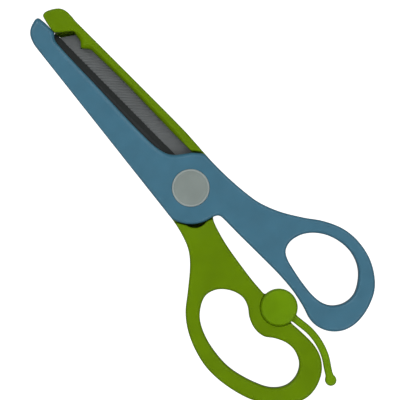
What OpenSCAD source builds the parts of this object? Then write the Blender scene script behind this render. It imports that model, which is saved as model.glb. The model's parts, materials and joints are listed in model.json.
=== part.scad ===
// Children's craft scissors with a fine-toothed edge: two moulded halves, let-in steel blades,
// a capped pivot and a fold-away spring lever.
// The closed scissors lie flat. Origin: the pivot axis at the underside. +Y runs along the
// blades to the tips, +X to the spine of the lower half, +Z up.

/* [Halves] */
// Thickness of the closed scissors, through the finger loops
thickness = 8; // [7.5:0.5:10]
// Gap between the sliding faces of the two halves
face_gap = 0.2; // [0.1:0.05:0.4]
// Radius of the round end of the upper half, over the pivot
hub_r = 10.3; // [10:0.1:10.5]
// Radius of the lower half round the pivot, hidden under the upper one
lower_hub_r = 9.5; // [9:0.1:9.6]
// Clearance round the hubs, where the other half turns past
hub_gap = 0.3; // [0.2:0.05:0.6]

/* [Blades] */
// Thickness of each steel blade
blade_t = 1; // [0.8:0.1:1.2]
// Radius of the eye at the root of each blade
eye_r = 7.5; // [7:0.1:8]
// Width of the bevel along each cutting edge
bevel_w = 1.6; // [1:0.1:2]
// Pitch of the teeth along the cutting edge
tooth_pitch = 1.1; // [0.9:0.1:2.2]
// Depth of the teeth
tooth_depth = 0.15; // [0.05:0.05:0.3]

/* [Pivot] */
// Diameter of the round cap over the pivot
cap_d = 10.7; // [10:0.1:11]
// Diameter of the pivot screw
screw_d = 4; // [3.5:0.1:4.2]
// Diameter of the screw's head
screw_head_d = 8.2; // [7:0.1:8.4]
// Outer diameter of the bush
bush_d = 5.8; // [5.4:0.1:6]
// Width of the nut across its flats
nut_w = 6; // [5.5:0.1:6.4]

/* [Lever] */
// Diameter of the lever's round button
button_d = 10; // [9:0.1:10.2]
// Diameter of the lever's hub, and of the boss under it
lever_hub_d = 10.4; // [10.2:0.1:10.6]
// Height of the boss that carries the lever
boss_h = 5; // [4.5:0.1:5.2]
// Diameter of the post that the lever turns on
post_d = 3; // [2.6:0.1:3.2]
// Width of the spring arm
arm_w = 2.1; // [1.8:0.1:2.3]
// Diameter of the ball at the end of the arm
ball_d = 3.3; // [3:0.1:3.4]

/* [Fits] */
// Radial clearance of the two turning fits
running_fit = 0.05; // [0.03:0.01:0.08]
// Axial clearance between turning faces
end_play = 0.02; // [0.01:0.01:0.05]

/* [Hidden] */
$fn = 96;
eps = 0.01;

// Steps between neighbouring points of a smooth line
steps = 4;

// Levels of the sliding faces
lower_face = (thickness - face_gap) / 2;
upper_face = (thickness + face_gap) / 2;

// Relief in the lower half's shoulder, toward its finger loop
relief_angle = 237;
relief_at = 7.4;
relief_r = 4;
// Extra clearance under the upper half, where the edge of the lower half's handle swings in
swing_gap = 0.9;

// Pivot stack, counted up from the underside
back_cap_t = 0.8;
nut_z = back_cap_t + 0.15;
nut_t = 1.1;
washer_t = 0.4;
flange_z = nut_z + nut_t + washer_t;
pocket_top = lower_face - blade_t;
friction_inlet = 0.23;
friction_t = face_gap + friction_inlet;
friction_r = 5.8;
bush_flange_r = 4.5;
head_seat = 0.9;
head_z = upper_face + blade_t + head_seat;
head_t = 1;
slot_w = 1;
slot_depth = 0.5;
cap_z = head_z + head_t + 0.1;
cap_wall = 0.9;
cap_bevel = 0.4;
cap_dome = 0.3;
back_cap_wall = 0.7;
back_cap_top = flange_z - 0.8;
washer_r = nut_w * 0.6;
washer_split = 0.6;

// Lever, about the centre of its button
lever_pos = [-3.7, -42];
lever_gap = 0.2;
lever_washer_t = 0.3;
lever_washer_r = lever_hub_d / 2 - 0.8;
lever_hub_z = boss_h + lever_washer_t + end_play;
lever_hub_top = thickness + 0.2;
lever_floor_t = 1.3;
lever_floor = lever_hub_z + lever_floor_t;
lever_wall = 1.1;
retainer_z = lever_floor + end_play;
retainer_t = 0.5;
retainer_r = post_d * 0.9;
retainer_mouth = 1.6;
groove_depth = 0.3;
post_z = 0.2;
post_head_r = 2.6;
post_head_t = 0.6;
button_h = 0.9;
button_bevel = 0.3;
button_skirt = 0.8;
arm_z = [thickness / 2 - 0.8, thickness - 0.6];

// Points on a smooth open line through p, with n steps between neighbours
function between(a, b, c, d, t) =
  (2 * b + (c - a) * t + (2 * a - 5 * b + 4 * c - d) * t * t
   + (3 * b - a - 3 * c + d) * t * t * t) / 2;
function curve(p, n = steps) = let (last = len(p) - 1) concat(
  [for (i = [0 : last - 1], k = [0 : n - 1])
    between(p[max(i - 1, 0)], p[i], p[i + 1], p[min(i + 2, last)], k / n)],
  [p[last]]
);
// The same for a closed line
function ring(p, n = steps) = let (m = len(p)) [
  for (i = [0 : m - 1], k = [0 : n - 1])
    between(p[(i + m - 1) % m], p[i], p[(i + 1) % m], p[(i + 2) % m], k / n)
];
// Points on an arc about the pivot
function arc(r, from, to, n) = [
  for (i = [0 : n]) r * [cos(from + (to - from) * i / n), sin(from + (to - from) * i / n)]
];
// Mirror images of a line of points in the YZ plane, in the opposite order
function mirrored(p) = [for (i = [len(p) - 1 : -1 : 0]) [-p[i].x, p[i].y]];

// Window edge of the upper half, from the tip block down to the round end
window = curve([
  [0.19, 58.7], [-0.3, 58.2], [-0.95, 57.3], [-1.25, 55.6], [-1.2, 50], [-0.9, 42], [-0.7, 34],
  [-0.5, 26], [-0.1, 18.5], [0.4, 14.8], [1.4, 11.8], [3, 9.9]
]);
// Lug of the plastic that locks the blade in, near the tip
lug = [[4.8, 48.4], [2.8, 50.5], [4.1, 51.9]];
// Inner edge of the lower half's raised rim, from the hub up to the tip block
rim = concat([[7, 8.2], [6.6, 14.8], [6.3, 23], [5.9, 34], [5.4, 41]], lug, [[4.3, 52.5], [4.7, 55.4]]);
block_corner = [0.23, 58.6];
// Front of the round end, flattened where it meets the window
hub_front = [[8.85, 5.35], [6.8, 7.4], [4.9, 8.6]];

// Outline of the upper half, anticlockwise from the corner of its round end
upper_tip = curve([
  [-0.3, 64.8], [-0.9, 65.2], [-2.6, 64.8], [-4.3, 63.9], [-5.4, 62.7], [-6, 61.3], [-6.4, 59.7]
], 2);
upper_handle = curve([
  [0.2, -10.7], [0.9, -11.3], [1.2, -13], [1.5, -19], [2.1, -28], [2.5, -35], [2.4, -41],
  [1.6, -46.5], [0.6, -50.5], [1, -53.8], [2.8, -56.9], [6, -59.2], [10.4, -59.9], [15.6, -58.7],
  [20.6, -55.7], [24.3, -50], [25.6, -43.5], [24.8, -37.5], [22, -32], [18.4, -27.5],
  [14.5, -21.8], [11.9, -16.2], [10.8, -11.5], [10, -5.8], [9.6, -1], [9.35, 4.5]
]);
upper_outline = concat(
  hub_front,
  [for (i = [len(window) - 1 : -1 : 0]) window[i]],
  [[0.19, 60.6], [0.08, 62.5]],
  upper_tip,
  arc(hub_r, 197, 264, 12),
  upper_handle
);
thumb_loop = ring([
  [6.5, -36.5], [5.9, -41], [5.7, -45.5], [6.3, -49.2], [8, -51.8], [11.2, -53.5], [15.1, -53.3],
  [19, -50.5], [21.3, -47], [22.1, -42.5], [21, -37.5], [18.6, -33.6], [15.3, -31], [11.5, -30.1],
  [8.6, -31], [7.2, -33.2]
]);

// Outline of the lower half, anticlockwise from its hub
lower_tip = curve([
  [6.9, 57.3], [7, 59.5], [6.6, 61.9], [5.2, 63.5], [2.8, 64.7], [1.3, 64.8], [0.8, 64.2]
], 2);
lower_handle = curve([
  [-9.6, 0], [-9.9, -3.4], [-10.6, -8], [-12.1, -12.6], [-15, -16.6], [-20.3, -21.6],
  [-24.4, -25.3], [-27.3, -29.5], [-29.3, -34.5], [-30.4, -40], [-30.3, -45], [-29.1, -50.8],
  [-26.8, -56.7], [-22.8, -61.8], [-18.5, -65.2], [-14.5, -66.5], [-10.5, -65.9], [-6.8, -63.8],
  [-4.4, -60.7], [-3.4, -57], [-3.5, -52.9], [-4.1, -47.4], [-4.6, -42], [-4.4, -36.1],
  [-4.3, -31], [-3.9, -26], [-3.3, -20], [-2.5, -15.5], [-1.6, -12], [-0.9, -10.5]
]);
lower_outline = concat(
  arc(lower_hub_r, -80, 0, 12),
  [[9.5, 6.2], [9.5, 12.7], [9.1, 20.5]],
  lower_tip,
  [[0.35, 61.8], [0.23, 60.6], block_corner, [0.52, 57.4], [0.52, 56.9]],
  [for (i = [3 * steps : len(window) - 1]) [-window[i].x, window[i].y]],
  mirrored(hub_front),
  lower_handle
);
finger_loop = ring([
  [-21.3, -28], [-17.4, -25.7], [-13.6, -26.5], [-10.8, -29.3], [-9.5, -32.8], [-10.2, -36],
  [-12, -38.8], [-12.9, -42], [-12.4, -45.3], [-10.4, -47.8], [-8.8, -50.9], [-8.5, -54.2],
  [-9.9, -57.8], [-13, -59.9], [-17, -60], [-20.7, -57.5], [-23.3, -53], [-25.3, -47.3],
  [-25.9, -42.5], [-25.4, -36.5], [-23.8, -31.4]
]);

// Cutting edge of the lower blade, from its root at the pivot to its tip, with its teeth
edge_root = [-3, 9.9];
edge_tip = [-0.45, 57.3];
edge_length = norm(edge_tip - edge_root);
edge_along = (edge_tip - edge_root) / edge_length;
edge_inward = [edge_along.y, -edge_along.x];
edge_heading = atan2(edge_along.y, edge_along.x) - 90;
// Flat left on the edge above the bevel, and the lengths without teeth at its two ends
edge_land = 0.12;
plain_root = 4;
plain_tip = 2.5;
tooth_count = floor((edge_length - plain_root - plain_tip) / tooth_pitch);
toothed_edge = concat(
  [edge_tip],
  [for (i = [2 * tooth_count : -1 : 0])
    edge_root + edge_along * (plain_root + i * tooth_pitch / 2)
    + edge_inward * (i % 2 == 1 ? tooth_depth : 0)],
  [edge_root]
);
// Back edge of the blade, with a notch for the lug
blade_back = concat([[7.35, 1.5], [7, 8.2], [6.6, 14.8], [6.3, 23], [5.9, 34], [5.4, 41]], lug);
blade_shoulder = [-7, 2.7];
// End of each blade: the upper one reaches up to the corner between the tip blocks
lower_end = [[4.35, 54.4]];
upper_end = [[4.35, 54.4], [0.5, 58.45], [-0.2, 58.5]];
// End of the pocket that holds a blade, with room as far as the tip block
pocket_end = [[4.35, 54.4], [4.65, 55.35], [0.4, 58.6]];

// Everything over the lower half's sliding face, inside its raised rim
channel = concat(rim, [block_corner, [-15, 58.6], [-15, 0], [0, 0]]);

// Middle line of the spring arm, from the hub to the ball
arm_line = curve([
  [-2.9, -45], [-2.2, -49.2], [-1.6, -53], [-1.85, -57], [-3, -61], [-5.1, -64.7], [-6.4, -67.3]
]);
function normal_at(p, i) =
  let (d = p[min(i + 1, len(p) - 1)] - p[max(i - 1, 0)]) [-d.y, d.x] / norm(d);
function ribbon(p, w) = concat(
  [for (i = [0 : len(p) - 1]) p[i] + normal_at(p, i) * w / 2],
  [for (i = [len(p) - 1 : -1 : 0]) p[i] - normal_at(p, i) * w / 2]
);

BLUE = [0.27, 0.43, 0.51];
GREEN = [0.38, 0.5, 0.02];
LEVER_GREEN = [0.4, 0.55, 0.03];
STEEL = [0.55, 0.56, 0.57];
DARK_STEEL = [0.3, 0.3, 0.31];
GREY = [0.51, 0.54, 0.53];
BRASS = [0.72, 0.6, 0.32];

// Moves a shape of the lower half to its mirrored place in the upper half
module turned_over() {
  translate([0, 0, thickness]) rotate([0, 180, 0]) children();
}

module slab(z0, z1) {
  translate([0, 0, z0]) linear_extrude(z1 - z0) children();
}

module tube(r_out, r_in, z0, z1) {
  translate([0, 0, z0]) difference() {
    cylinder(r = r_out, h = z1 - z0);
    translate([0, 0, -1]) cylinder(r = r_in, h = z1 - z0 + 2);
  }
}

module disc(r, z0, z1) {
  translate([0, 0, z0]) cylinder(r = r, h = z1 - z0);
}

// Strip as thick as a blade, as it lies in the lower half, with that end and cutting edge
module strip(end, edge) {
  slab(lower_face - blade_t, lower_face) polygon(concat(blade_back, end, edge, [blade_shoulder]));
  disc(eye_r, lower_face - blade_t, lower_face);
}

// Steel blade as it lies in the lower half: flat face up, bevel underneath
module blade(end) difference() {
  strip(end, toothed_edge);
  translate([edge_root.x, edge_root.y, lower_face]) rotate(edge_heading)
    translate([0, edge_length + 5, 0]) rotate([90, 0, 0]) linear_extrude(edge_length + 5)
      polygon([
        [-2, -edge_land], [0, -edge_land], [bevel_w, -blade_t], [bevel_w, -blade_t - 1],
        [-2, -blade_t - 1]
      ]);
}

// Room for a blade in its half
module blade_pocket() strip(pocket_end, [edge_tip, edge_root]);

module upper_body() color(BLUE) difference() {
  slab(0, thickness) polygon(upper_outline);
  slab(-1, thickness + 1) polygon(thumb_loop);
  // Room for the lower half and its blade
  turned_over() slab(lower_face, thickness + 1) polygon(channel);
  disc(hub_r + hub_gap + swing_gap, -1, upper_face);
  turned_over() blade_pocket();
  // Pivot: screw hole, then the pocket for its head and the cap
  disc(screw_d / 2, upper_face, thickness);
  disc(cap_d / 2 + running_fit, head_z, thickness + 1);
}

module upper_blade() color(DARK_STEEL) difference() {
  turned_over() blade(upper_end);
  disc(screw_d / 2, upper_face - 1, upper_face + blade_t + 1);
}

module lower_body() color(GREEN) difference() {
  union() {
    slab(0, thickness) polygon(lower_outline);
    translate(lever_pos) disc(lever_hub_d / 2, 0, boss_h);
  }
  slab(-1, thickness + 1) polygon(finger_loop);
  // Room for the upper half and its blade, with a relief in the shoulder that faces the handle
  slab(lower_face, thickness + 1) polygon(channel);
  disc(hub_r + hub_gap, lower_face, thickness + 1);
  rotate(relief_angle) translate([relief_at, 0, 0]) disc(relief_r, lower_face, thickness + 1);
  blade_pocket();
  // Pivot pocket, open underneath
  disc(cap_d / 2 + running_fit, -1, pocket_top);
  // Recess for the lever's hub, and the hole for its post
  translate(lever_pos) {
    disc(lever_hub_d / 2 + lever_gap, boss_h, thickness + 1);
    disc(post_d / 2, -1, boss_h + 1);
    disc(post_head_r, -1, post_z + post_head_t);
  }
}

module lower_blade() color(STEEL) difference() {
  blade(lower_end);
  disc(bush_d / 2, pocket_top - 1, lower_face + 1);
  disc(friction_r, lower_face + end_play + face_gap - friction_t, lower_face + 1);
}

module pivot_cap() color(GREY) {
  r = cap_d / 2;
  rotate_extrude() polygon([
    [0, cap_z], [r - cap_wall, cap_z], [r - cap_wall, head_z], [r, head_z],
    [r, thickness - 0.1], [r - cap_bevel, thickness + cap_dome / 2],
    [r * 0.6, thickness + cap_dome * 0.8], [0, thickness + cap_dome]
  ]);
}

module pivot_screw() color(STEEL) difference() {
  union() {
    disc(screw_d / 2, back_cap_t + 0.1, head_z);
    disc(screw_head_d / 2, head_z, head_z + head_t);
  }
  // Driver slot
  translate([-screw_head_d, -slot_w / 2, head_z + head_t - slot_depth])
    cube([2 * screw_head_d, slot_w, head_t]);
}

module pivot_bush() color(BRASS) {
  inner = screw_d / 2 + running_fit;
  tube(bush_d / 2, inner, flange_z, lower_face - friction_t + face_gap);
  tube(bush_flange_r, inner, flange_z, pocket_top);
}

module friction_washer() color("whitesmoke")
  tube(friction_r, screw_d / 2 + 2 * running_fit, lower_face + face_gap - friction_t + end_play,
    upper_face - end_play);

module spring_washer() color(STEEL) difference() {
  tube(washer_r, screw_d / 2 + running_fit, nut_z + nut_t, flange_z - end_play);
  // Split
  rotate(20) translate([0, -washer_split / 2, 0]) cube([nut_w, washer_split, thickness]);
}

module pivot_nut() color(STEEL) difference() {
  translate([0, 0, nut_z]) cylinder(r = nut_w / sqrt(3), h = nut_t, $fn = 6);
  disc(screw_d / 2, 0, thickness);
}

module back_cap() color(GREY) {
  disc(cap_d / 2, 0, back_cap_t);
  tube(cap_d / 2, cap_d / 2 - back_cap_wall, back_cap_t - eps, back_cap_top);
}

module spring_lever() color(LEVER_GREEN) difference() {
  union() {
    translate(lever_pos) disc(lever_hub_d / 2, lever_hub_z, lever_hub_top);
    difference() {
      union() {
        slab(arm_z[0], arm_z[1]) polygon(ribbon(arm_line, arm_w));
        translate(arm_line[len(arm_line) - 1]) disc(ball_d / 2, arm_z[0], arm_z[1]);
      }
      translate(lever_pos) disc(lever_hub_d / 2 + 2 * lever_gap, 0, lever_hub_z);
    }
  }
  translate(lever_pos) {
    disc(post_d / 2 + running_fit, 0, thickness);
    disc(lever_hub_d / 2 - lever_wall, lever_floor, thickness + 2);
  }
}

module lever_button() color(LEVER_GREEN) translate(lever_pos) {
  r = button_d / 2;
  z = lever_hub_top;
  skirt_r = lever_hub_d / 2 - lever_wall;
  rotate_extrude() polygon([
    [0, z], [skirt_r - button_skirt, z], [skirt_r - button_skirt, z - button_skirt],
    [skirt_r, z - button_skirt], [skirt_r, z], [r, z], [r, z + button_h - button_bevel],
    [r - button_bevel, z + button_h], [0, z + button_h]
  ]);
}

module lever_post() color(STEEL) translate(lever_pos) difference() {
  union() {
    disc(post_d / 2, post_z, retainer_z + retainer_t + groove_depth);
    disc(post_head_r, post_z, post_z + post_head_t);
  }
  // Groove for the retainer
  tube(post_d, post_d / 2 - groove_depth, retainer_z, retainer_z + retainer_t);
}

module lever_washer() color("whitesmoke") translate(lever_pos)
  tube(lever_washer_r, post_d / 2 + running_fit, boss_h, boss_h + lever_washer_t);

module lever_retainer() color(STEEL) translate(lever_pos) difference() {
  tube(retainer_r, post_d / 2 - groove_depth, retainer_z, retainer_z + retainer_t);
  // Mouth of the clip
  translate([0, -retainer_mouth / 2, 0]) cube([post_d, retainer_mouth, thickness * 2]);
}

upper_body();
upper_blade();
lower_body();
lower_blade();
pivot_cap();
pivot_screw();
pivot_bush();
friction_washer();
spring_washer();
pivot_nut();
back_cap();
spring_lever();
lever_button();
lever_post();
lever_washer();
lever_retainer();
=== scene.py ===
"""Looks of the children's craft scissors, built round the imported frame.

The plastic pieces are filleted mouldings made from the plans of their CAD nodes. Lengths in the
shape code are millimetres, and every mesh is written in metres, in the row frame.
"""

import json
import math

import bmesh
import bpy
import numpy as np
from mathutils import Matrix, Vector


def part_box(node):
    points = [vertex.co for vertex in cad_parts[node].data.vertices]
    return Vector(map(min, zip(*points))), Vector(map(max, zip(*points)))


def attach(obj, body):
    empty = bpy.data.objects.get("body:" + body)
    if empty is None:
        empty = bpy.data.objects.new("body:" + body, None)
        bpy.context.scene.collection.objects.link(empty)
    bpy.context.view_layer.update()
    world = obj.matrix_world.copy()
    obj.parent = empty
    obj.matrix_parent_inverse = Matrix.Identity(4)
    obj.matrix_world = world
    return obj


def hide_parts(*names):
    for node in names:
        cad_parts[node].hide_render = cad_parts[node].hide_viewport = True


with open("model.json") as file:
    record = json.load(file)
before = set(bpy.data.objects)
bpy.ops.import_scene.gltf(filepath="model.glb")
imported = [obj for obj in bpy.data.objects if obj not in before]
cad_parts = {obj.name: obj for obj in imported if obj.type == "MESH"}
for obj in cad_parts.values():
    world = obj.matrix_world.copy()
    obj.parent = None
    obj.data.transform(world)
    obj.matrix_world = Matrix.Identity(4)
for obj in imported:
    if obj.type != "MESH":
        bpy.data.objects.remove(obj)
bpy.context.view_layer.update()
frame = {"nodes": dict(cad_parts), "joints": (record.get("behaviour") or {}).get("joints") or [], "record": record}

MM = 0.001

# The main view's up and right. The ridges of the lower blade run along its right.
VIEW_UP = Vector((0.663, 0.749, 0))
VIEW_RIGHT = Vector((0.749, -0.663, 0))


def level(node, end):
    """Height of a CAD node's bottom, for end 0, or of its top, for end 1."""
    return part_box(node)[end].z / MM


def radius(node):
    """Radius of a round CAD node."""
    low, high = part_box(node)
    return (high.x - low.x) / 2 / MM


TOP = level("upper_body", 1)
LOWER_FACE = level("lower_blade", 1)
UPPER_FACE = level("upper_blade", 0)
BLADE = LOWER_FACE - level("lower_blade", 0)
LEVER = next(j for j in frame["joints"] if j["name"] == "lever_pivot")
LEVER_X, LEVER_Y = LEVER["pos_m"][0] / MM, LEVER["pos_m"][1] / MM
BOSS_TOP = level("lever_washer", 0)
LEVER_HUB_R = 5.3
LEVER_HUB_WALL = 1.1
CAP_R = radius("pivot_cap")

# Step of the grid on which the mouldings are made, its reach past a node's box, and the number of
# times that a plan is smoothed over its neighbours on the grid
STEP = 0.27
MARGIN = 1.2
BLUR = 3


# ---------------------------------------------------------------- outlines and distances


def slice_loops(node, z):
    """Closed outlines of a CAD node at height z, each an (n, 2) array in millimetres."""
    bm = bmesh.new()
    bm.from_mesh(frame["nodes"][node].data)
    bmesh.ops.remove_doubles(bm, verts=bm.verts, dist=1e-7)
    everything = bm.verts[:] + bm.edges[:] + bm.faces[:]
    cut = bmesh.ops.bisect_plane(
        bm, geom=everything, dist=1e-9, plane_co=(0, 0, z * MM), plane_no=(0, 0, 1)
    )["geom_cut"]
    links = {}
    for edge in cut:
        if isinstance(edge, bmesh.types.BMEdge):
            a, b = edge.verts
            links.setdefault(a, []).append(b)
            links.setdefault(b, []).append(a)
    loops = []
    while links:
        start = next(iter(links))
        loop, here = [start], start
        while True:
            near = [v for v in links.pop(here, []) if v in links]
            if not near:
                break
            here = near[0]
            loop.append(here)
        loops.append(np.array([v.co[:2] for v in loop]) / MM)
    bm.free()
    return [loop for loop in loops if len(loop) > 2]


class Plan:
    """Smoothed signed distance to a set of outlines, on a grid, negative inside."""

    def __init__(self, loops, xs, ys):
        self.xs, self.ys = xs, ys
        x, y = np.meshgrid(xs, ys, indexing="ij")
        best = np.full(x.shape, 1e9)
        odd = np.zeros(x.shape, bool)
        for loop in loops:
            for (ax, ay), (bx, by) in zip(loop, np.roll(loop, -1, 0)):
                dx, dy = bx - ax, by - ay
                t = ((x - ax) * dx + (y - ay) * dy) / (dx * dx + dy * dy + 1e-12)
                t = np.clip(t, 0, 1)
                best = np.minimum(best, (x - ax - t * dx) ** 2 + (y - ay - t * dy) ** 2)
                if abs(dy) > 1e-12:
                    odd ^= ((ay > y) != (by > y)) & (x < ax + (y - ay) * dx / dy)
        d = np.sqrt(best) * np.where(odd, -1, 1)
        for _ in range(BLUR):
            for axis in (0, 1):
                d = (np.roll(d, 1, axis) + 2 * d + np.roll(d, -1, axis)) / 4
        self.d = d

    def at(self, x, y):
        """Distance at points, through a cubic B-spline; on the grid itself, the stored values."""
        if x.ndim == 3:
            return self.d[:, :, None]
        u = (x - self.xs[0]) / (self.xs[1] - self.xs[0])
        v = (y - self.ys[0]) / (self.ys[1] - self.ys[0])
        i = np.clip(u.astype(int), 1, len(self.xs) - 3)
        j = np.clip(v.astype(int), 1, len(self.ys) - 3)
        wu, wv = spline_weights(u - i), spline_weights(v - j)
        total = np.zeros(len(x))
        for a in range(4):
            for b in range(4):
                total += wu[a] * wv[b] * self.d[i + a - 1, j + b - 1]
        return total


def spline_weights(t):
    """Weights of the four nearest values of a cubic B-spline, t of the way along the middle span."""
    return (
        (1 - t) ** 3 / 6,
        (3 * t**3 - 6 * t**2 + 4) / 6,
        (-3 * t**3 + 3 * t**2 + 3 * t + 1) / 6,
        t**3 / 6,
    )


def slab(plan, z, low, high, r_low, r_high):
    """Distance to a plate with that plan between two heights, with rounded edges."""
    middle, half = (low + high) / 2, (high - low) / 2
    r = np.where(z > middle, r_high, r_low)
    a = plan + r
    b = np.abs(z - middle) - half + r
    return np.minimum(np.maximum(a, b), 0) + np.hypot(np.maximum(a, 0), np.maximum(b, 0)) - r


def cut(body, tool, k):
    """body without tool, with its new edge softened over k."""
    h = np.clip(0.5 - 0.5 * (tool + body) / k, 0, 1)
    return body * (1 - h) - tool * h + k * h * (1 - h)


def ramp(value, start, end):
    """0 up to start, 1 from end on, and smooth between."""
    t = np.clip((value - start) / (end - start), 0, 1)
    return t * t * (3 - 2 * t)


def mix(a, b, t):
    return a * (1 - t) + b * t


# ---------------------------------------------------------------- meshing

CORNERS = [(i, j, k) for i in (0, 1) for j in (0, 1) for k in (0, 1)]
CELL_EDGES = [
    (a, b) for a in range(8) for b in range(a + 1, 8)
    if sum(p != q for p, q in zip(CORNERS[a], CORNERS[b])) == 1
]

# How often a moulding's vertices are pulled onto the surface, and how far at most each time
PULLS = 3
PULL_LIMIT = 0.15
# How far to each side the slope is read, for the pull and for the smoother normals
PULL_REACH = 0.05
NORMAL_REACH = 0.12


def surface_net(field, axes):
    """Vertices and quads of the field's zero level: one vertex in each cell that it crosses."""
    inside = field < 0
    nx, ny, nz = (n - 1 for n in field.shape)
    count = sum(
        inside[i:nx + i, j:ny + j, k:nz + k].astype(np.int8) for i, j, k in CORNERS
    )
    cells = np.argwhere((count > 0) & (count < 8))
    number = np.full((nx, ny, nz), -1)
    number[tuple(cells.T)] = np.arange(len(cells))
    value = [field[tuple((cells + c).T)] for c in CORNERS]
    total, hits = np.zeros((len(cells), 3)), np.zeros(len(cells))
    for a, b in CELL_EDGES:
        crossed = (value[a] < 0) != (value[b] < 0)
        t = np.where(crossed, value[a] / (value[a] - value[b] + 1e-30), 0)
        point = np.array(CORNERS[a]) + t[:, None] * (np.array(CORNERS[b]) - np.array(CORNERS[a]))
        total += point * crossed[:, None]
        hits += crossed
    steps = np.array([axis[1] - axis[0] for axis in axes])
    origin = np.array([axis[0] for axis in axes])
    points = origin + (cells + total / hits[:, None]) * steps
    quads = []
    for axis in range(3):
        one = [slice(None)] * 3
        two = [slice(None)] * 3
        one[axis], two[axis] = slice(0, -1), slice(1, None)
        starts = np.argwhere(inside[tuple(one)] != inside[tuple(two)])
        u, v = np.eye(3, dtype=int)[(axis + 1) % 3], np.eye(3, dtype=int)[(axis + 2) % 3]
        ring = [starts - u - v, starts - v, starts, starts - u]
        quad = np.stack([number[tuple(c.T)] for c in ring], 1)
        leaving = inside[tuple(starts.T)]
        quad[~leaving] = quad[~leaving][:, ::-1]
        quads.append(quad)
    return points, np.vstack(quads)


def gradient(shape, p, reach):
    """Unit vectors along which shape grows fastest at the points p."""
    rows = []
    for axis in range(3):
        step = np.zeros(3)
        step[axis] = reach
        rows.append(shape(*(p + step).T) - shape(*(p - step).T))
    g = np.stack(rows, 1)
    return g / (np.linalg.norm(g, axis=1)[:, None] + 1e-12)


def moulding(name, shape, axes):
    """A piece whose surface is the zero level of shape(x, y, z)."""
    x, y, z = (a.reshape(s) for a, s in zip(axes, ((-1, 1, 1), (1, -1, 1), (1, 1, -1))))
    x, y, z = np.broadcast_arrays(x, y, z)
    points, quads = surface_net(np.asarray(shape(x, y, z)), axes)
    for _ in range(PULLS):
        away = np.clip(shape(*points.T), -PULL_LIMIT, PULL_LIMIT)
        points = points - gradient(shape, points, PULL_REACH) * away[:, None]
    mesh = bpy.data.meshes.new(name)
    mesh.from_pydata((points * MM).tolist(), [], quads.tolist())
    mesh.validate()
    mesh.shade_smooth()
    mesh.normals_split_custom_set_from_vertices(gradient(shape, points, NORMAL_REACH).tolist())
    piece = bpy.data.objects.new(name, mesh)
    bpy.context.scene.collection.objects.link(piece)
    return piece


def grid_over(node):
    """Sample positions along X, Y and Z that cover a CAD node."""
    low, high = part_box(node)
    return [
        np.arange(low[i] / MM - MARGIN, high[i] / MM + MARGIN + STEP, STEP) for i in range(3)
    ]


def stand_in(piece, node, slot, *materials):
    """piece takes the place of a CAD node and rides on its body."""
    for material in materials:
        piece.data.materials.append(material)
    body = next(b for b, nodes in frame["record"]["behaviour"]["bodies"].items() if node in nodes)
    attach(piece, body)
    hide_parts(node)
    return piece


# ---------------------------------------------------------------- materials


class Look:
    """A material's node tree, with short calls for the nodes that these materials use."""

    def __init__(self, name):
        self.material = bpy.data.materials.new(name)
        self.material.use_nodes = True
        self.tree = self.material.node_tree
        self.shader = self.tree.nodes["Principled BSDF"]
        self.place = self.tree.nodes.new("ShaderNodeTexCoord").outputs["Object"]

    def link(self, source, target):
        self.tree.links.new(source, target)

    def stretched(self, x, y, z, turn=0):
        """Object coordinates, scaled along X, Y and Z after a turn about Z."""
        node = self.tree.nodes.new("ShaderNodeMapping")
        node.vector_type = "TEXTURE"
        node.inputs["Scale"].default_value = (x, y, z)
        node.inputs["Rotation"].default_value = (0, 0, turn)
        self.link(self.place, node.inputs["Vector"])
        return node.outputs["Vector"]

    def noise(self, size, detail=2, vector=None):
        """Noise whose features are about size metres wide, from 0 to 1."""
        node = self.tree.nodes.new("ShaderNodeTexNoise")
        node.inputs["Scale"].default_value = 1 / size
        node.inputs["Detail"].default_value = detail
        self.link(vector or self.place, node.inputs["Vector"])
        return node.outputs["Fac"]

    def spread(self, value, low, high):
        """Noise value, taken from the range where most of it lies to low..high."""
        node = self.tree.nodes.new("ShaderNodeMapRange")
        ends = {"From Min": 0.3, "From Max": 0.7, "To Min": low, "To Max": high}
        for key, number in ends.items():
            node.inputs[key].default_value = number
        self.link(value, node.inputs["Value"])
        return node.outputs["Result"]

    def colours(self, value, low, high):
        """Colours between low and high as value goes from 0 to 1."""
        node = self.tree.nodes.new("ShaderNodeMix")
        node.data_type = "RGBA"
        self.link(value, node.inputs[0])
        node.inputs[6].default_value = (*low, 1)
        node.inputs[7].default_value = (*high, 1)
        return node.outputs[2]

    def bump(self, height, distance, strength=1, under=None):
        """Relief distance metres high, on top of the relief under."""
        node = self.tree.nodes.new("ShaderNodeBump")
        node.inputs["Distance"].default_value = distance
        node.inputs["Strength"].default_value = strength
        self.link(height, node.inputs["Height"])
        if under:
            self.link(under, node.inputs["Normal"])
        return node.outputs["Normal"]

    def set(self, **values):
        for key, value in values.items():
            self.shader.inputs[key.replace("_", " ")].default_value = value


def linear(r, g, b):
    """A colour given as 0..255 display values, in the linear units of the shader."""
    return tuple(((c / 255 + 0.055) / 1.055) ** 2.4 if c > 10 else c / 255 / 12.92 for c in (r, g, b))


def moulded_plastic(name, colour, roughness=0.34, gloss=0.25):
    """Moulded plastic: a faint cloudiness from the flow of the melt, and a fine eroded grain."""
    look = Look(name)
    dark = tuple(0.93 * c for c in colour)
    pale = tuple(min(1, 1.06 * c) for c in colour)
    cloud = look.spread(look.noise(0.006, 3), 0, 1)
    look.link(look.colours(cloud, dark, pale), look.shader.inputs["Base Color"])
    grain = look.noise(0.00025, 2)
    look.link(
        look.spread(look.noise(0.002, 3), roughness - 0.04, roughness + 0.05),
        look.shader.inputs["Roughness"],
    )
    swell = look.bump(look.noise(0.004, 1), 0.00004, 0.5)
    look.link(look.bump(grain, 0.000006, 1, swell), look.shader.inputs["Normal"])
    look.set(IOR=1.47, Specular_IOR_Level=gloss)
    return look.material


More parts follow.
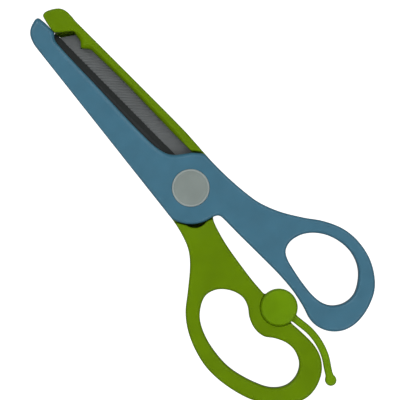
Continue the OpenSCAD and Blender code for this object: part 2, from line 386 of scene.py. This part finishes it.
def ground_steel(name, colour, roughness, turn=0, metal=1.0):
    """Ground steel: fine parallel scratches, turned from X by turn, and clouds of brighter and
    duller metal. Less than 1 of metal leaves it with a dull, blasted share."""
    look = Look(name)
    scratches = look.noise(1, 2, look.stretched(0.004, 0.00012, 0.0004, turn))
    cloud = look.noise(0.003, 3)
    dark = tuple(0.9 * c for c in colour)
    look.link(look.colours(look.spread(cloud, 0, 1), dark, colour), look.shader.inputs["Base Color"])
    look.link(
        look.spread(scratches, roughness - 0.08, roughness + 0.1), look.shader.inputs["Roughness"]
    )
    look.link(look.bump(scratches, 0.000012), look.shader.inputs["Normal"])
    look.set(Metallic=metal)
    return look.material


BLUE = moulded_plastic("moulded blue", linear(62, 110, 132), gloss=0.3)
GREEN = moulded_plastic("moulded green", linear(98, 130, 0), gloss=0.08)
LEVER_GREEN = moulded_plastic("moulded lever green", linear(104, 142, 0), gloss=0.1)
GREY = moulded_plastic("moulded grey", linear(132, 142, 138), 0.5)
# Paler grey for the cap's lip: a painted highlight, with lower roughness.
GREY_PAINTED_HIGHLIGHT = moulded_plastic("grey with painted rim highlight", linear(150, 160, 158), 0.4)
NYLON = moulded_plastic("natural nylon", linear(226, 224, 216), 0.5)
BLADE_FACE = ground_steel(
    "ground blade face", linear(95, 98, 99), 0.5, turn=math.radians(-41.5), metal=0.6
)
# Steel painted dark: painted shade and dark reflection on the blades' flanks and on the upper blade's top beside
# the blue plastic.
BLADE_FLANK_PAINTED_SHADE = ground_steel(
    "blade flank painted dark as shade", linear(46, 49, 49), 0.6, turn=math.radians(45), metal=0.6
)
BRIGHT = ground_steel("turned bright steel", linear(190, 190, 190), 0.3)
BRASS = ground_steel("turned brass", linear(200, 165, 95), 0.32)


# ---------------------------------------------------------------- moulded halves


# Fillets of both halves: at the underside, at the face toward the other half, and at the top
BOTTOM_EDGE = 1.2
FACE_EDGE = 0.25
TOP_EDGE = 0.9

# Height through both halves' thick parts at which their plans are taken, and the distance of a
# blade's plan from its flat face
BASE_SLICE = 2
BLADE_SLICE = 0.05

# Middle lines of the spines, as (distance from X = 0, its slope along Y)
UPPER_SPINE = (6, -0.04)
LOWER_SPINE = (8.6, -0.055)


def beyond_spine(distance, y, spine):
    """0 on the spine's blade side and 1 on its free side, from a distance to X = 0."""
    return ramp(distance - spine[0] - spine[1] * y, -0.8, 0.8)


def spine_edges(x, y, outer, inner, spine):
    """Radius of the top edges: along the spine it is outer on the free side and inner on the blade
    side."""
    along = ramp(y, 10, 16) * (1 - ramp(y, 54, 58))
    return mix(TOP_EDGE, mix(inner, outer, beyond_spine(np.abs(x), y, spine)), along)


def upper_body():
    """The half with the window: a plate over the lower half, and thick parts beside it."""
    axes = grid_over("upper_body")
    high = Plan(slice_loops("upper_body", TOP - 2.5), *axes[:2])
    low = Plan(slice_loops("upper_body", BASE_SLICE), *axes[:2])
    blade = Plan(slice_loops("upper_blade", UPPER_FACE + BLADE_SLICE), *axes[:2])
    dip, dip_width = 0.26, 1.3
    cap_floor, cap_gap = TOP - 2, 0.02

    def shape(x, y, z):
        whole, block = high.at(x, y), low.at(x, y)
        edge = spine_edges(x, y, 0.6, 0.5, UPPER_SPINE)
        # The top dips toward the window and the front of the hub
        facing = ramp(x + UPPER_SPINE[0] + UPPER_SPINE[1] * y, -0.8, 0.8) * ramp(y, 3, 9)
        top = TOP - dip * facing * (1 - ramp(-whole, 0, dip_width))
        body = slab(whole, z, UPPER_FACE, top, FACE_EDGE, edge)
        body = np.minimum(body, slab(block, z, 0, top, BOTTOM_EDGE, edge))
        blade_pocket = np.maximum(blade.at(x, y), z - UPPER_FACE - BLADE)
        body = cut(body, blade_pocket, 0.15)
        cap_pocket = np.maximum(np.hypot(x, y) - CAP_R - cap_gap, cap_floor - z)
        return cut(body, cap_pocket, 0.06)

    piece = moulding("blue_half", shape, axes)
    return stand_in(piece, "upper_body", "blue_plastic", BLUE)


def lower_body():
    """The half with the hub and the lever's boss: a base, and higher parts clear of the upper half."""
    axes = grid_over("lower_body")

    def solid_loops(z):
        """Outlines at z without the pivot pocket and the hole of the lever's post."""
        loops = slice_loops("lower_body", z)
        far = [
            (np.hypot(*loop.T).max(), np.hypot(loop[:, 0] - LEVER_X, loop[:, 1] - LEVER_Y).max())
            for loop in loops
        ]
        return [loop for loop, (a, b) in zip(loops, far) if a > 6 and b > 3]

    base = Plan(solid_loops(BASE_SLICE), *axes[:2])
    middle = Plan(solid_loops((LOWER_FACE + BOSS_TOP) / 2), *axes[:2])
    top = Plan(solid_loops(TOP - 1.5), *axes[:2])
    blade = Plan(slice_loops("lower_blade", LOWER_FACE - BLADE_SLICE), *axes[:2])
    pocket = Plan(solid_loops(LOWER_FACE - BLADE / 2), *axes[:2])
    relief_x, relief_y, relief_r, relief_start = -4.03, -6.21, 4, 9.2
    slot_start, slot_floor, relief_floor = 50, 1.6, 1.2
    back_cap_gap = 0.05
    post_hole_r, post_hole_top = 2.6, 0.8

    def shape(x, y, z):
        rho = np.hypot(x, y)
        lever = np.hypot(x - LEVER_X, y - LEVER_Y)
        # The top edges are sharper beside the hub, on the tip block and round the lever
        edge = spine_edges(x, y, 0.7, 1.8, LOWER_SPINE)
        edge = mix(0.5, edge, ramp(rho, 11.5, 14))
        edge = mix(edge, 0.5, ramp(y, 53.5, 55.5))
        edge = mix(0.25, edge, ramp(lever, 6, 7.5))
        # The top sinks toward the upper half's hub
        sunk = 0.35 * (1 - ramp(rho, 10.6, 16))
        # The blur has rounded the tip block's corner, so the block grows back toward the other half
        tip = 0.06 * ramp(y, 56.5, 58) * (1 - ramp(y, 60, 62)) * (1 - ramp(np.abs(x), 1, 2))
        body = slab(base.at(x, y) - tip, z, 0, LOWER_FACE, BOTTOM_EDGE, FACE_EDGE)
        body = np.minimum(body, slab(middle.at(x, y) - tip, z, 0, BOSS_TOP, BOTTOM_EDGE, 0.3))
        body = np.minimum(body, slab(top.at(x, y) - tip, z, 0, TOP - sunk, BOTTOM_EDGE, edge))
        blade_plan = blade.at(x, y)
        body = cut(body, np.maximum(blade_plan, LOWER_FACE - BLADE - z), 0.15)
        slot = np.maximum(np.maximum(-pocket.at(x, y), -blade_plan), slot_start - y)
        body = cut(body, np.maximum(slot, slot_floor - z), 0.05)
        relief = np.hypot(x - relief_x, y - relief_y) - relief_r
        relief = np.maximum(relief, relief_start - rho)
        body = cut(body, np.maximum(relief, relief_floor - z), 0.1)
        back_cap_pocket = np.maximum(rho - CAP_R - back_cap_gap, z - LOWER_FACE + BLADE)
        body = cut(body, back_cap_pocket, 0.25)
        post_hole = np.maximum(lever - post_hole_r, z - post_hole_top)
        return cut(body, post_hole, 0.2)

    piece = moulding("green_half", shape, axes)
    return stand_in(piece, "lower_body", "green_plastic", GREEN)


# ---------------------------------------------------------------- lever


def spring_lever():
    """A ring hub with a floor, and the curved arm with its ball, which reaches lower than the hub."""
    axes = grid_over("spring_lever")
    arm_low, arm_high = level("spring_lever", 0), TOP - 0.6
    hub_low, hub_high = BOSS_TOP + 0.32, level("spring_lever", 1)
    arm = Plan(slice_loops("spring_lever", hub_low - 0.5), *axes[:2])
    both = Plan(slice_loops("spring_lever", hub_low + 0.5), *axes[:2])
    arm_edge, hub_edge = 0.7, 0.3
    floor_thickness, post_hole_r = 1.3, 1.55

    def shape(x, y, z):
        body = slab(arm.at(x, y), z, arm_low, arm_high, arm_edge, arm_edge)
        body = np.minimum(body, slab(both.at(x, y), z, hub_low, arm_high, hub_edge, arm_edge))
        rho = np.hypot(x - LEVER_X, y - LEVER_Y)
        hub = slab(rho - LEVER_HUB_R, z, hub_low, hub_high, hub_edge, hub_edge)
        body = np.minimum(body, hub)
        inside = np.maximum(rho - LEVER_HUB_R + LEVER_HUB_WALL, hub_low + floor_thickness - z)
        body = cut(body, inside, 0.1)
        return cut(body, rho - post_hole_r, 0.1)

    piece = moulding("lever_arm", shape, axes)
    return stand_in(piece, "spring_lever", "lever_plastic", LEVER_GREEN)


def lathe(name, profile, x=0.0, y=0.0):
    """A turned piece about the vertical axis at (x, y), from (radius, height) points."""
    sides = 128
    bm = bmesh.new()
    angles = [2 * math.pi * i / sides for i in range(sides)]
    rings = []
    for r, z in profile:
        if r < 1e-6:
            rings.append([bm.verts.new((x * MM, y * MM, z * MM))])
        else:
            rings.append([
                bm.verts.new(((x + r * math.cos(a)) * MM, (y + r * math.sin(a)) * MM, z * MM))
                for a in angles
            ])
    for low, high in zip(rings, rings[1:]):
        for i in range(sides):
            k = (i + 1) % sides
            corners = [low[i % len(low)], low[k % len(low)], high[k % len(high)], high[i % len(high)]]
            unique = list(dict.fromkeys(corners))
            if len(unique) > 2:
                bm.faces.new(unique)
    bmesh.ops.recalc_face_normals(bm, faces=bm.faces)
    mesh = bpy.data.meshes.new(name)
    bm.to_mesh(mesh)
    bm.free()
    mesh.shade_smooth()
    mesh.set_sharp_from_angle(angle=math.radians(40))
    piece = bpy.data.objects.new(name, mesh)
    bpy.context.scene.collection.objects.link(piece)
    return piece


def fillet(r, z, size, start, end):
    """Points round a corner: an arc of radius size about (r, z), from start to end degrees."""
    steps = 6
    turns = [math.radians(start + (end - start) * i / steps) for i in range(steps + 1)]
    return [(r + size * math.cos(a), z + size * math.sin(a)) for a in turns]


def lever_button():
    """A crowned disc, with a skirt that snaps into the lever's hub."""
    low, high = level("lever_button", 0), level("lever_button", 1)
    r = radius("lever_button")
    rim_low = high - 0.9
    skirt = LEVER_HUB_R - LEVER_HUB_WALL
    skirt_inside = skirt - 0.8
    edge = 0.4
    crown = [(t * (r - edge - 0.05), high - 0.1 * t * t) for t in (0, 0.3, 0.6, 0.85)]
    profile = crown + fillet(r - edge, high - edge - 0.1, edge, 88, 0)
    profile += [(r, rim_low), (skirt, rim_low), (skirt, low)]
    profile += [(skirt_inside, low), (skirt_inside, rim_low), (0, rim_low)]
    return stand_in(
        lathe("lever_button_disc", profile, LEVER_X, LEVER_Y), "lever_button", "lever_plastic",
        LEVER_GREEN,
    )


def pivot_cap():
    """A shallow crown inside a narrow raised lip, painted a paler grey as a highlight, and a skirt."""
    low, high = level("pivot_cap", 0), level("pivot_cap", 1)
    lip = CAP_R - 0.5
    edge = 0.18
    skirt_inside, underside = CAP_R - 0.9, high - 1.2
    crown = [(t * (lip - 0.1), high - 0.14 - 0.03 * t * t) for t in (0, 0.25, 0.5, 0.75, 1)]
    profile = crown + [(lip, high - 0.1)] + fillet(CAP_R - edge, high - 0.3, edge, 105, 0)
    profile += [(CAP_R, low), (skirt_inside, low), (skirt_inside, underside), (0, underside)]
    cap = lathe("pivot_cap_disc", profile)
    # The lip's faces take the paler grey, a painted highlight.
    for face in cap.data.polygons:
        if face.center.to_2d().length > (lip - 0.05) * MM:
            face.material_index = 1
    return stand_in(cap, "pivot_cap", "grey_plastic", GREY, GREY_PAINTED_HIGHLIGHT)


def back_cap():
    """A flat disc in the underside, with a skirt that goes up."""
    high = level("back_cap", 1)
    edge, thickness = 0.3, 0.8
    skirt_inside = CAP_R - 0.7
    profile = [(0, 0)] + fillet(CAP_R - edge, edge, edge, -90, 0)
    profile += [(CAP_R, high), (skirt_inside, high), (skirt_inside, thickness), (0, thickness)]
    return stand_in(lathe("back_cap_disc", profile), "back_cap", "grey_plastic", GREY)


# ---------------------------------------------------------------- blades

RIDGE_PITCH = 0.78
RIDGE_DEPTH = 0.1
# Cuts in the mesh per ridge, and where the ridges start, are full, fade and end along VIEW_UP
RIDGE_CUTS = 8
RIDGE_FIRST, RIDGE_FULL, RIDGE_FADE, RIDGE_LAST = 12.0, 20.0, 34.0, 42.0


def blade_mesh(node, face_side):
    """A copy of a blade's mesh: its flat face gets the first material, and its flanks the second.
    face_side is 1 for a face that looks up, and -1 for one that looks down."""
    bm = bmesh.new()
    bm.from_mesh(frame["nodes"][node].data)
    bmesh.ops.remove_doubles(bm, verts=bm.verts, dist=1e-7)
    bmesh.ops.recalc_face_normals(bm, faces=bm.faces)
    for face in bm.faces:
        # Faces other than the flat face take the second material, which the blades give steel painted dark as
        # shade.
        face.material_index = 0 if face.normal.z * face_side > 0.9 else 1
        face.smooth = True
    return bm


def blade_piece(name, bm):
    """The finished blade, without the normals that came with its CAD mesh."""
    mesh = bpy.data.meshes.new(name)
    bm.to_mesh(mesh)
    bm.free()
    if "custom_normal" in mesh.attributes:
        mesh.attributes.remove(mesh.attributes["custom_normal"])
    mesh.set_sharp_from_angle(angle=math.radians(22))
    piece = bpy.data.objects.new(name, mesh)
    bpy.context.scene.collection.objects.link(piece)
    return piece


def lower_blade():
    """The flat face has oblique rolled ridges, strongest half way along."""
    bm = blade_mesh("lower_blade", 1)
    face_z = LOWER_FACE * MM
    count = int((RIDGE_LAST - RIDGE_FIRST) / RIDGE_PITCH) * RIDGE_CUTS
    for i in range(count + 1):
        u = RIDGE_FIRST + i * RIDGE_PITCH / RIDGE_CUTS
        faces = [
            f for f in bm.faces
            if f.normal.z > 0.9 and abs(f.calc_center_median().z - face_z) < 1e-5
        ]
        geom = list({e for f in faces for e in [*f.verts, *f.edges]}) + faces
        bmesh.ops.bisect_plane(
            bm, geom=geom, dist=1e-7, plane_co=VIEW_UP * (u * MM), plane_no=VIEW_UP
        )
    for v in bm.verts:
        if abs(v.co.z - face_z) < 1e-6:
            u = v.co.dot(VIEW_UP) / MM
            fade = float(ramp(u, RIDGE_FIRST, RIDGE_FULL) * (1 - ramp(u, RIDGE_FADE, RIDGE_LAST)))
            groove = (0.5 - 0.5 * math.cos(2 * math.pi * (u - RIDGE_FIRST) / RIDGE_PITCH)) ** 2
            v.co.z -= RIDGE_DEPTH * MM * fade * groove
    return stand_in(
        blade_piece("green_half_blade", bm), "lower_blade", "blade_steel", BLADE_FACE, BLADE_FLANK_PAINTED_SHADE
    )


def upper_blade():
    """Its flat face looks down, onto the lower blade. Its top, seen from above, takes the flank steel, painted
    dark as shade and dark reflection.
    """
    bm = blade_mesh("upper_blade", -1)
    return stand_in(
        blade_piece("blue_half_blade", bm), "upper_blade", "blade_steel_shaded", BLADE_FACE, BLADE_FLANK_PAINTED_SHADE
    )


# ---------------------------------------------------------------- pieces that keep their CAD shape

KEPT = {
    "pivot_screw": BRIGHT, "pivot_bush": BRASS, "friction_washer": NYLON, "spring_washer": BRIGHT,
    "pivot_nut": BRIGHT, "lever_post": BRIGHT, "lever_washer": NYLON, "lever_retainer": BRIGHT,
}

for build in (upper_body, lower_body, spring_lever, lever_button, pivot_cap, back_cap,
              lower_blade, upper_blade):
    build()
for name, material in KEPT.items():
    node = frame["nodes"][name]
    node.data.materials.clear()
    node.data.materials.append(material)


# ---------------------------------------------------------------- floor, lights and camera


def floor():
    """White paper that glows, so that it stays plain white, but sheds no light on the object."""
    mesh = bpy.data.meshes.new("floor")
    mesh.from_pydata([(-1, -1, 0), (1, -1, 0), (1, 1, 0), (-1, 1, 0)], [], [(0, 1, 2, 3)])
    plane = bpy.data.objects.new("floor", mesh)
    plane.location.z = -0.0003
    bpy.context.scene.collection.objects.link(plane)
    look = Look("white paper")
    look.set(Base_Color=(0.35, 0.35, 0.35, 1), Roughness=0.9, Specular_IOR_Level=0)
    look.set(Emission_Color=(1, 1, 1, 1), Emission_Strength=1.0)
    mesh.materials.append(look.material)
    plane.visible_diffuse = False
    plane.visible_glossy = False


LAMP_DISTANCE = 1.5
LAMP_SIZE = 0.75
# How far the lamps lean away from straight above, as sideways over up
LAMP_LEAN = 0.68


def softbox(name, direction, watts):
    """A square area light that faces the middle of the object, from that direction."""
    data = bpy.data.lights.new(name, "AREA")
    data.size = LAMP_SIZE
    data.energy = watts
    lamp = bpy.data.objects.new(name, data)
    lamp.location = direction.normalized() * LAMP_DISTANCE
    lamp.rotation_euler = (-lamp.location).to_track_quat("-Z", "Y").to_euler()
    bpy.context.scene.collection.objects.link(lamp)


def lights():
    """Four softboxes high over the ends and sides of the object, and a dim white world."""
    softbox("key", Vector((0, LAMP_LEAN, 1)), 8)
    softbox("fill_near", Vector((0, -LAMP_LEAN, 1)), 6.2)
    softbox("fill_left", Vector((-LAMP_LEAN, 0, 1)), 3.2)
    softbox("fill_right", Vector((LAMP_LEAN, 0, 1)), 4.6)
    world = bpy.data.worlds.new("studio")
    world.use_nodes = True
    world.node_tree.nodes["Background"].inputs["Color"].default_value = (1, 1, 1, 1)
    world.node_tree.nodes["Background"].inputs["Strength"].default_value = 0.2
    bpy.context.scene.world = world


def camera():
    """Straight down from 1 m, turned so that the tips point to the upper left."""
    data = bpy.data.cameras.new("camera")
    data.sensor_width = 36
    data.lens = 314.6
    data.clip_start = 0.01
    view = bpy.data.objects.new("camera", data)
    place = Vector((-0.0003, -0.0043, 1))
    turn = Matrix((VIEW_RIGHT, VIEW_UP, (0, 0, 1))).transposed().to_4x4()
    view.matrix_world = Matrix.Translation(place) @ turn
    bpy.context.scene.collection.objects.link(view)
    bpy.context.scene.camera = view


floor()
lights()
camera()
bpy.context.scene.view_settings.view_transform = "Standard"
